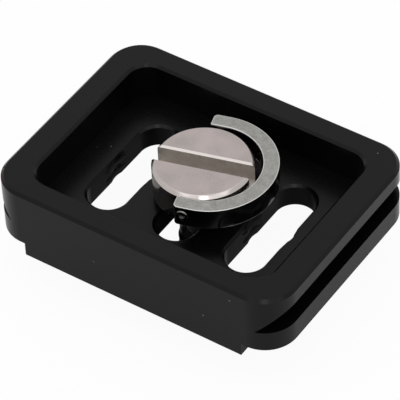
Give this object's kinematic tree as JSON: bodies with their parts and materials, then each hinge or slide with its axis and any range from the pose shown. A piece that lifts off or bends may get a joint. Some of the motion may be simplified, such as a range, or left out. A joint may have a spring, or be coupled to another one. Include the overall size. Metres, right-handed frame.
{
  "type": "tripod quick release plate",
  "caption": "Black dovetail quick release plate for a tripod head, with slots for a captive camera screw that has a coin slot and a folding ring.",
  "frame": {"origin": "middle of the dovetail's length and width, in the plane of the camera seat (the rubber strips' outer faces)", "axes": "+X across the dovetail, +Y along the dovetail, +Z from the camera to the tripod"},
  "size_m": [0.038, 0.0282, 0.0141],
  "materials": {
    "anodised_body": "black anodised, fine satin",
    "screw_steel": "turned and plated, satin",
    "ring_steel": "satin face, polished edges",
    "pin_steel": "bright",
    "rubber": "matte"
  },
  "bodies": {
    "plate": {"plate_body": "anodised_body", "rubber_pad_left": "rubber", "rubber_pad_right": "rubber"},
    "screw": {"camera_screw": "screw_steel", "pivot_pin_front": "pin_steel", "pivot_pin_rear": "pin_steel"},
    "ring": {"d_ring": "ring_steel"}
  },
  "joints": [
    {"name": "screw_turn", "type": "hinge", "parent": "plate", "child": "screw", "pos_m": [0, 0.00065, 0.005], "axis": [0, 0, 1], "continuous": true},
    {"name": "ring_fold", "type": "hinge", "parent": "screw", "child": "ring", "pos_m": [0, 0.00065, 0.0088], "axis": [0.2706, -0.9627, 0], "range_deg": [0, 180]}
  ]
}
